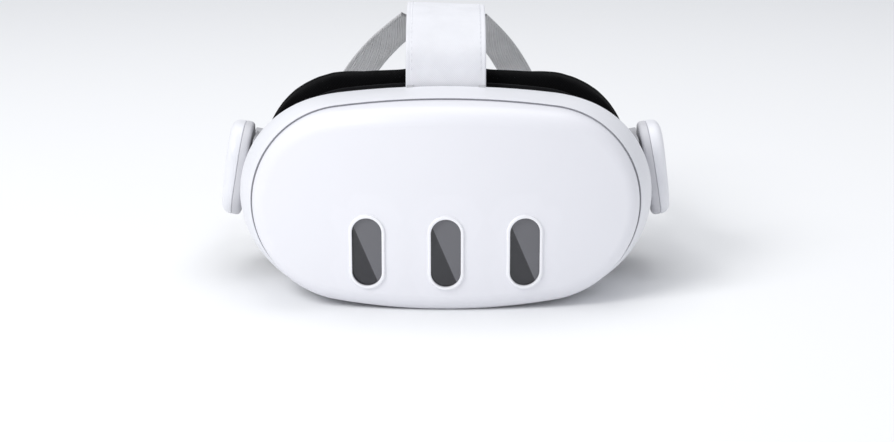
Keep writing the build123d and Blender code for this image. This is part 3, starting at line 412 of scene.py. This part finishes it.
def rim_profile():
    """Radius and height above the dome, from a small flare over two round edges down into the opening."""
    flare = ((0.5, -0.12), (0.28, 0.02), (0.08, 0.18))
    profile = [(RIM_OUTER_R + reach * MM, height * MM) for reach, height in flare]
    top = RIM_PROUD - RIM_EDGE_R
    for middle, first in ((RIM_OUTER_R - RIM_EDGE_R, 0), (RIM_INNER_R + RIM_EDGE_R, 90)):
        for angle in np.radians(range(first, first + 91, 18)):
            profile.append((middle + RIM_EDGE_R * math.cos(angle), top + RIM_EDGE_R * math.sin(angle)))
    return profile + [(RIM_INNER_R, -2.0 * MM)]


def window_rim(name, x):
    """Raised rim round a window, with softly rounded edges, following the dome of the cover."""
    profile = rim_profile()
    points, normals = slot_outline(RIM_INNER_R, RIM_HALF_H)
    vertices = []
    for (px, pz), (nx, nz) in zip(points, normals):
        for reach, height in profile:
            vx = x + px + nx * (reach - RIM_INNER_R)
            vz = WINDOW_Z + pz + nz * (reach - RIM_INNER_R)
            vy = DOME_Y - math.sqrt((DOME_R + height) ** 2 - vx**2 - (vz - CENTRE_Z) ** 2)
            vertices.append((vx, vy, vz))
    faces = grid_faces(len(points), len(profile), close_rows=True)
    rim = recalculate(mesh_object(name + "_moulded", vertices, faces, SLOT_OF[name], "visor"))
    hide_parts(name)


for place, step in (("left", 1), ("centre", 0), ("right", -1)):
    window_rim(place + "_window_rim", step * WINDOW_PITCH)


# ---------------------------------------------------------------- arms
# the circles that the paddle's edge runs round: place along the arm, height from the hinge and radius
ARM_CIRCLES = [
    (ARM_FRONT_Y + 15 * MM, 2.0 * MM, 15.0 * MM),
    (ARM_FRONT_Y + 21 * MM, 2.0 * MM, 15.0 * MM),
    (ARM_REAR_Y - 11 * MM, -13.0 * MM, 11.0 * MM),
    (ARM_FRONT_Y + 21 * MM, -11.0 * MM, 15.0 * MM),
    (ARM_FRONT_Y + 15 * MM, -11.0 * MM, 15.0 * MM),
]
OUTER_FACE_SLOPE = math.tan(math.radians(2.5))


def paddle_outline(count=150, infill=10):
    """Round the paddle: centre of curvature, radius and outward direction at each station."""
    stations = []
    last = None
    for k in range(count + 1):
        angle = 2 * math.pi * k / count
        n = np.array([math.cos(angle), math.sin(angle)])
        best = max(ARM_CIRCLES, key=lambda circle: circle[0] * n[0] + circle[1] * n[1] + circle[2])
        here = (np.array(best[:2]), best[2], n, best)
        if last is not None and last[3] != best:
            for share in np.linspace(0, 1, infill + 2)[1:-1]:
                centre, radius, mixed = (a * (1 - share) + b * share for a, b in zip(last[:3], here[:3]))
                stations.append((centre, radius, mixed / np.linalg.norm(mixed)))
        if k < count:
            stations.append(here[:3])
        last = here
    return stations


STATIONS = paddle_outline()


def arm_point(side, y, t, depth):
    """A place on an arm: along it, up its leaning face from the hinge, and out from its inner face."""
    x = ARM_INNER_X + depth * math.cos(LEAN) - t * math.sin(LEAN)
    return (side * x, y, PIVOT_Z + depth * math.sin(LEAN) + t * math.cos(LEAN))


def arm_rings(side, rings, slope=0.0):
    """Points round the paddle at each ring: a depth from the inner face and an inset from the edge."""
    vertices = []
    for depth, inset in rings:
        for centre, radius, n in STATIONS:
            y, t = centre + n * (radius - inset)
            vertices.append(arm_point(side, y, t, depth + slope * t))
    return vertices


def arm_half(name, vertices):
    """Closes rings of points into one half of an arm, in place of its CAD node."""
    rows, columns = len(vertices) // len(STATIONS), len(STATIONS)
    faces = grid_faces(rows, columns, close_columns=True) + end_caps(rows, columns)
    obj = recalculate(mesh_object(name + "_moulded", vertices, faces, SLOT_OF[name], "headband"))
    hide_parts(name)
    return obj


def quarter_turn():
    """(sine, cosine) at seven steps from 0 to 90 degrees."""
    return [(math.sin(angle), math.cos(angle)) for angle in np.radians(range(0, 91, 15))]


def arm_housing(mark, side):
    """The inner half: a flat face, a rounded edge, and a small step at the joint, in a darker copy of the
    white that is painted shade.
    """
    edge_r = 2.0 * MM
    rings = [(0.05 * MM, 9.5 * MM), (0.0, 6.0 * MM), (0.0, 2.3 * MM)]
    rings += [(edge_r * (1 - cosine), edge_r * (1 - sine)) for sine, cosine in quarter_turn()]
    rings += [(3.6 * MM, 0.0), (3.85 * MM, 0.05 * MM), (4.0 * MM, 0.25 * MM), (4.05 * MM, 1.0 * MM)]
    housing = arm_half(mark + "_arm_housing", arm_rings(side, rings))
    # painted shade: the inner half takes the darker copy of the arm white
    housing.data.materials[0] = ARM_PAINTED_SHADE_WHITE


def arm_cover(mark, side):
    """The outer half: a small step at the joint, a wide rounded edge, and a slightly sloping face."""
    edge_r, edge_start = 4.0 * MM, 5.7 * MM
    wall = [(4.15 * MM, 1.0 * MM), (4.2 * MM, 0.25 * MM), (4.35 * MM, 0.05 * MM), (4.6 * MM, 0.0)]
    face = [(edge_start + edge_r * sine, edge_r * (1 - cosine)) for sine, cosine in quarter_turn()]
    face += [(9.8 * MM, 6.0 * MM), (9.95 * MM, 8.0 * MM), (10.0 * MM, 10.0 * MM)]
    arm_half(mark + "_arm_cover", arm_rings(side, wall) + arm_rings(side, face, OUTER_FACE_SLOPE))


def arm_joint(mark, side):
    """The grey line at the bottom of the groove between the two halves."""
    groove = arm_rings(side, [(3.9 * MM, 0.55 * MM), (4.3 * MM, 0.55 * MM)])
    faces = grid_faces(2, len(STATIONS), close_columns=True)
    mesh_object(mark + "_arm_joint", groove, faces, "seam_grey", "headband")


def sound_slots(mark, side, count=5, corners=24):
    """Round-ended slots in the inner face, over the speaker."""
    half_w, end_r = 4.0 * MM, 0.6 * MM
    lowest, pitch = -16.0, 3.0
    middle_y = ARM_FRONT_Y + 40 * MM
    rim = []
    for k in range(corners):
        angle = 2 * math.pi * (k + 0.5) / corners
        dy = half_w * math.copysign(1, math.cos(angle)) + end_r * math.cos(angle)
        rim.append((dy, end_r * math.sin(angle)))
    faces = grid_faces(2, corners, close_columns=True) + [tuple(range(corners, 2 * corners))]
    for number in range(count):
        middle_t = (lowest + pitch * number) * MM
        vertices = [arm_point(side, middle_y + dy, middle_t + dt, -0.06 * MM) for dy, dt in rim]
        vertices += [arm_point(side, middle_y + 0.8 * dy, middle_t + 0.5 * dt, 0.02 * MM) for dy, dt in rim]
        mesh_object(f"{mark}_sound_slot_{number + 1}", vertices, faces, "black_plastic", "headband")


for mark, side in (("left", LEFT), ("right", RIGHT)):
    for make in (arm_housing, arm_cover, arm_joint, sound_slots):
        make(mark, side)


# ---------------------------------------------------------------- face cushion
VOXEL = 3.0 * MM
START_SHRINK, PUFF_CAP = 0.9 * MM, 2.2 * MM
CLIPPED_DEPTH = 3.5 * MM
PUFF_PRESSURE, PUFF_FRAMES = 4.0, 20
CHANNEL_PLACE, CHANNEL_DEPTH, CHANNEL_WIDTH = 9.0 * MM, 0.9 * MM, 1.6 * MM


def apply_modifiers(obj):
    depsgraph = bpy.context.evaluated_depsgraph_get()
    mesh = bpy.data.meshes.new_from_object(obj.evaluated_get(depsgraph))
    obj.modifiers.clear()
    obj.data = mesh


def coordinates(obj):
    values = np.empty(len(obj.data.vertices) * 3)
    obj.data.vertices.foreach_get("co", values)
    return values.reshape(-1, 3)


def put_coordinates(obj, points):
    obj.data.vertices.foreach_set("co", np.ascontiguousarray(points).ravel())
    obj.data.update()


def vertex_normals(obj):
    values = np.empty(len(obj.data.vertices) * 3)
    obj.data.vertex_normals.foreach_get("vector", values)
    return values.reshape(-1, 3)


def shrink(obj, amount):
    put_coordinates(obj, coordinates(obj) - vertex_normals(obj) * amount)


def relax(obj, rounds):
    """Smooths the mesh a little without shrinking it much."""
    bm = bmesh.new()
    bm.from_mesh(obj.data)
    for _ in range(rounds):
        bmesh.ops.smooth_vert(
            bm, verts=bm.verts, factor=0.4, use_axis_x=True, use_axis_y=True, use_axis_z=True
        )
    bm.to_mesh(obj.data)
    bm.free()


def puff(obj, clipped):
    """Blows the cover up with cloth pressure, held where the clips of the frame hold it."""
    group = obj.vertex_groups.new(name="clipped")
    group.add([int(i) for i in np.nonzero(clipped)[0]], 1.0, "REPLACE")
    cloth = obj.modifiers.new("cloth", "CLOTH")
    cloth.settings.use_pressure = True
    cloth.settings.uniform_pressure_force = PUFF_PRESSURE
    cloth.settings.effector_weights.gravity = 0.0
    cloth.settings.vertex_group_mass = "clipped"
    cloth.settings.quality = 6
    cloth.collision_settings.use_collision = False
    scene = bpy.context.scene
    for number in range(1, PUFF_FRAMES + 1):
        scene.frame_set(number)
    apply_modifiers(obj)
    scene.frame_set(1)


def cap_moves(obj, rest, cap):
    """Brings back to the cap the points that moved further than that from their places at rest."""
    moved = coordinates(obj) - rest
    length = np.linalg.norm(moved, axis=1)
    moved *= np.minimum(1.0, cap / np.maximum(length, 1e-9))[:, None]
    put_coordinates(obj, rest + moved)


def fit_cushion(obj, low, high):
    """Brings the cover to about the CAD ring's width and height, no further forward or down than the ring."""
    points = coordinates(obj)
    middle_z = (low[2] + high[2]) / 2
    top_z = points[:, 2].max()
    points[:, 0] *= (high[0] - 0.8 * MM) / points[:, 0].max()
    points[:, 2] = middle_z + (points[:, 2] - middle_z) * (high[2] + 0.5 * MM - middle_z) / (top_z - middle_z)
    points[:, 1] = np.maximum(points[:, 1], low[1] + 0.02 * MM)
    points[:, 2] = np.maximum(points[:, 2], low[2] + 0.3 * MM)
    put_coordinates(obj, points)


def sew_channel(obj, y, depth, width):
    """Pulls the cover in along a line round the ring, where the two pieces of cloth are sewn."""
    points, normals = coordinates(obj), vertex_normals(obj)
    pull = depth * np.exp(-(((points[:, 1] - y) / width) ** 2))
    pull *= 1 - np.abs(normals[:, 1]) ** 2
    put_coordinates(obj, points - normals * pull[:, None])


def foam_cushion():
    """The CAD ring remeshed, puffed up by cloth pressure and capped, then given its sewn channel."""
    low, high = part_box("facial_cushion")
    pad = bpy.data.objects.new("facial_cushion_padded", NODES["facial_cushion"].data.copy())
    bpy.context.scene.collection.objects.link(pad)
    bpy.context.view_layer.objects.active = pad
    remesh = pad.modifiers.new("remesh", "REMESH")
    remesh.mode = "VOXEL"
    remesh.voxel_size = VOXEL
    remesh.adaptivity = 0.0
    apply_modifiers(pad)
    shrink(pad, START_SHRINK)
    rest = coordinates(pad)
    puff(pad, rest[:, 1] < low[1] + CLIPPED_DEPTH)
    cap_moves(pad, rest, PUFF_CAP)
    relax(pad, 5)
    fit_cushion(pad, low, high)
    pad.modifiers.new("subdivision", "SUBSURF").levels = 1
    pad.modifiers["subdivision"].render_levels = 1
    apply_modifiers(pad)
    sew_channel(pad, low[1] + CHANNEL_PLACE, CHANNEL_DEPTH, CHANNEL_WIDTH)
    for polygon in pad.data.polygons:
        polygon.use_smooth = True
    pad.data.materials.clear()
    pad.data.materials.append(MATERIALS[SLOT_OF["facial_cushion"]])
    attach(pad, "face_interface")
    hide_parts("facial_cushion")


foam_cushion()


# ---------------------------------------------------------------- straps
def offset_line(line, across, out):
    """A line beside another, moved along its width's directions and along its normals."""
    return [np.array(c) + np.array(s) * across + np.array(n) * out for c, s, n in zip(*line)]


def strap_centre_line():
    """The top strap's line in the middle plane: a short end inside, round the wire and over the head."""
    y0, z0 = ANCHOR_Y, ANCHOR_Z
    over_head = [
        (y0, z0 + 3.5 * MM),
        (y0 + 5 * MM, CENTRE_Z + 59 * MM),
        (y0 + 22 * MM, CENTRE_Z + 69.5 * MM),
        (y0 + 48 * MM, CENTRE_Z + 73.0 * MM),
        (y0 + 75 * MM, CENTRE_Z + 70.0 * MM),
        (JUNCTION_Y - 28 * MM, CENTRE_Z + 65.6 * MM),
        (JUNCTION_Y + 2 * MM, JUNCTION_Z + 2 * MM),
    ]
    middle = smooth_path(over_head, 110)
    along = directions(middle)
    out = np.stack([-along[:, 1], along[:, 0]], axis=1)
    layer, turn_r = 0.66 * MM, 1.9 * MM
    first, short_end = 3, 48
    inner = (middle - out * layer)[first:short_end][::-1]
    outer = (middle + out * layer)[first:]
    loop = []
    for angle in np.radians(np.arange(-5, -186, -15)):
        loop.append((y0 + turn_r * math.cos(angle), z0 + turn_r * math.sin(angle)))
    return np.vstack([inner, loop, outer]), len(inner) + len(loop)


def strap_frames(path):
    """The strap's line with its width along X, lying a little askew on top of the head."""
    askew = math.radians(2.2)
    centres, sides, normals = [], [], []
    for (y, z), (dy, dz) in zip(path, directions(path)):
        share = max(0.0, math.sin(math.pi * (y - ANCHOR_Y) / (JUNCTION_Y - ANCHOR_Y)))
        roll = askew * share * abs(dy)
        lift = math.sin(math.copysign(roll, dy))
        out = np.array([0.0, -dz, dy])
        centres.append((0.0, y, z))
        sides.append(X_AXIS * math.cos(roll) - out * lift)
        normals.append(out * math.cos(roll) + X_AXIS * lift)
    return centres, sides, normals


def make_top_strap():
    path, outer_start = strap_centre_line()
    line = strap_frames(path)
    slot = SLOT_OF["top_strap_front"]
    strap = ribbon("top_strap_woven", line, STRAP_W, STRAP_T, slot)
    pieces = [strap]
    hem_across, hem_out = STRAP_W / 2 - 2.6 * MM, 0.62 * MM
    for mark, side in (("left", LEFT), ("right", RIGHT)):
        hem = offset_line(line, side * hem_across, hem_out)[outer_start:]
        pieces.append(stitches("top_strap_stitches_" + mark, hem, line[2][outer_start:], slot))
    for piece in pieces:
        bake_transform(piece)
    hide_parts("top_strap_front", "top_strap_rear")


def stadium_outline(half_w, half_h, end_r, count=260):
    """Points and outward normals of a shape with round ends joined by long arcs, about the origin."""
    long_r = ((half_w - end_r) ** 2 + half_h**2 - end_r**2) / (2 * (half_h - end_r))
    end_x = half_w - end_r
    turn = math.atan2(end_x, long_r - half_h)
    points, normals = [], []
    for k in range(count):
        angle = 2 * math.pi * (k + 0.5) / count
        n = np.array([math.cos(angle), math.sin(angle)])
        from_up = abs(math.atan2(n[0], n[1]))
        if from_up < turn:
            centre, radius = (0.0, half_h - long_r), long_r
        elif math.pi - from_up < turn:
            centre, radius = (0.0, long_r - half_h), long_r
        else:
            centre, radius = (math.copysign(end_x, n[0]), 0.0), end_r
        points.append(np.array(centre) + n * radius)
        normals.append(n)
    return np.array(points), np.array(normals)


def band_frames(height):
    """The band's line at a height between its edges: centres, upward directions and outward normals."""
    points, outward = stadium_outline(BAND_HALF_W, BAND_BACK_DEPTH, BAND_BACK_R)
    rear = points[:, 1] > 0
    points, outward = points[rear], outward[rear]
    points[:, 1] += BAND_BACK_Y
    left = np.array([(BAND_HALF_W, y) for y in np.arange(BAND_START_Y + 0.1 * MM, BAND_BACK_Y, 2.0 * MM)])
    right = left[::-1] * (-1, 1)
    points = np.vstack([left, points, right])
    outward = np.vstack([[(1.0, 0.0)] * len(left), outward, [(-1.0, 0.0)] * len(right)])
    inset = (height * math.tan(LEAN)) + BAND_T / 2 / math.cos(LEAN)
    lean_cos, lean_sin = math.cos(LEAN), math.sin(LEAN)
    z = BAND_BOTTOM_Z + height
    centres = [(x - nx * inset, y - ny * inset, z) for (x, y), (nx, ny) in zip(points, outward)]
    ups = [(-nx * lean_sin, -ny * lean_sin, lean_cos) for nx, ny in outward]
    outs = [(nx * lean_cos, ny * lean_cos, lean_sin) for nx, ny in outward]
    return centres, ups, outs


def make_rear_band():
    line = band_frames(BAND_H / 2)
    slot = SLOT_OF["rear_band"]
    band = ribbon("rear_band_webbing", line, BAND_H / math.cos(LEAN), BAND_T, slot, "headband")
    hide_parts("rear_band")
    hem_across, hem_out = BAND_H / 2 - 2.2 * MM, BAND_T / 2 + 0.02 * MM
    for mark, way in (("upper", 1), ("lower", -1)):
        hem = offset_line(line, way * hem_across, hem_out)
        stitches("rear_band_stitches_" + mark, hem[3:-3], line[2][3:-3], slot, "headband")


def leg_route(side, top_x, foot_x):
    """A leg's centres and width's directions, from the band's outer face up to the top strap's end."""
    centres, ups, outs = band_frames(BAND_H)
    at_back = [i for i, centre in enumerate(centres) if centre[1] >= BAND_BACK_Y]
    nearest = min(at_back, key=lambda i: abs(centres[i][0] - side * foot_x))
    foot, out, down = np.array(centres[nearest]), np.array(outs[nearest]), -np.array(ups[nearest])
    level = np.array([out[1], -out[0], 0.0])
    level *= math.copysign(1.0, level[0]) / np.linalg.norm(level)
    top = np.array([side * top_x, JUNCTION_Y, JUNCTION_Z])
    lift = out * 1.9 * MM
    sewn_length = 13
    route, across = [], []
    for share in np.linspace(0, 1, 8):
        route.append(foot + lift + down * sewn_length * MM * (1 - share))
        across.append(level)
    bulge = np.cross(top - foot, level + X_AXIS)
    bulge *= math.copysign(1.0, bulge[1]) / np.linalg.norm(bulge)
    for share in np.linspace(0.07, 1, 26):
        straight = foot + (top - foot) * share
        route.append(straight + lift * (1 - share) ** 2 + bulge * LEG_BOW * math.sin(math.pi * share))
        turned = level * (1 - share) + X_AXIS * share
        across.append(turned / np.linalg.norm(turned))
    up = top - np.array([0.0, foot[1], foot[2]])
    up /= np.linalg.norm(up)
    route.append(top + up * STRAP_T)
    across.append(X_AXIS)
    return route, across, out


def leg_frames(side, top_x, foot_x):
    """A leg's centres, width's directions and normals, evenly spaced along it."""
    route, across, out = leg_route(side, top_x, foot_x)
    centres = smooth_path(route, 60)
    sides, normals = [], []
    for share, along in zip(np.linspace(0, len(across) - 1, len(centres)), directions(centres)):
        first = int(share)
        a, b = across[first], across[min(first + 1, len(across) - 1)]
        width_way = a + (b - a) * (share - first)
        width_way = width_way - along * np.dot(width_way, along)
        width_way /= np.linalg.norm(width_way)
        normal = np.cross(width_way, along)
        before = normals[-1] if normals else out
        sides.append(width_way)
        normals.append(normal if np.dot(normal, before) > 0 else -normal)
    return centres, sides, normals


def make_leg(mark, side, top_x, foot_x):
    """A grey leg with a sewn line by each edge and two bars of stitches where it is sewn to the band."""
    line = leg_frames(side, top_x, foot_x)
    slot = SLOT_OF["rear_y_strap"]
    leg = ribbon("rear_leg_" + mark, line, LEG_W, LEG_T, slot, "headband")
    hem_across, bar_across, hem_out = 6.6 * MM, 6.2 * MM, 0.66 * MM
    for edge, way in (("outer", 1), ("inner", -1)):
        hem = offset_line(line, way * hem_across, hem_out)
        stitches(f"rear_leg_{mark}_stitches_{edge}", hem[1:-1], line[2][1:-1], slot, "headband")
    for number, rung in enumerate((1, 9)):
        centre, width_way, normal = (np.array(part[rung]) for part in line)
        row = [centre + width_way * way * bar_across + normal * hem_out for way in (-1, 0, 1)]
        stitches(f"rear_leg_{mark}_bar_{number + 1}", row, [normal] * 3, slot, "headband")
    return leg


make_top_strap()
make_rear_band()
left_leg = make_leg("left", LEFT, 13.0 * MM, 46.0 * MM)
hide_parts("rear_y_strap")
make_leg("right", RIGHT, 15.5 * MM, 57.0 * MM)


# ---------------------------------------------------------------- stage, lights, camera
bpy.ops.mesh.primitive_plane_add(size=8.0)
floor = bpy.context.object
floor.name = "floor"
floor.data.materials.append(new_material("floor_paint", (0.93, 0.935, 0.94), 0.9)[0])


def aim(obj, target):
    direction = Vector(target) - obj.location
    obj.rotation_euler = direction.to_track_quat("-Z", "Y").to_euler()


def area_light(name, place, target, size, power):
    data = bpy.data.lights.new(name, "AREA")
    data.shape = "RECTANGLE"
    data.size, data.size_y = size
    data.energy = power
    obj = bpy.data.objects.new(name, data)
    bpy.context.scene.collection.objects.link(obj)
    obj.location = place
    aim(obj, target)


area_light("key", (-1.0, -1.0, 1.2), (0, 0, 0.05), (0.8, 0.8), 16.0)
area_light("fill", (1.5, -0.9, 0.5), (0, 0, 0.05), (1.0, 1.0), 1.2)
area_light("top", (0.0, 0.4, 1.5), (0, 0, 0.0), (1.4, 1.0), 8.0)
world = bpy.data.worlds.new("studio")
bpy.context.scene.world = world
world.use_nodes = True
world.node_tree.nodes["Background"].inputs["Color"].default_value = (0.93, 0.95, 1.0, 1.0)
world.node_tree.nodes["Background"].inputs["Strength"].default_value = 0.56
bpy.context.scene.view_settings.view_transform = "Standard"

CAMERA_ELEVATION, CAMERA_DISTANCE = math.radians(13.0), 1.0
TARGET = Vector((0.0005, -0.0239, 0.0368))
camera_data = bpy.data.cameras.new("camera")
camera_data.lens = 91.0
camera_data.sensor_width = 36.0
camera = bpy.data.objects.new("camera", camera_data)
bpy.context.scene.collection.objects.link(camera)
backward = Vector((0, -math.cos(CAMERA_ELEVATION), math.sin(CAMERA_ELEVATION)))
camera.location = TARGET + backward * CAMERA_DISTANCE
aim(camera, TARGET)
bpy.context.scene.camera = camera
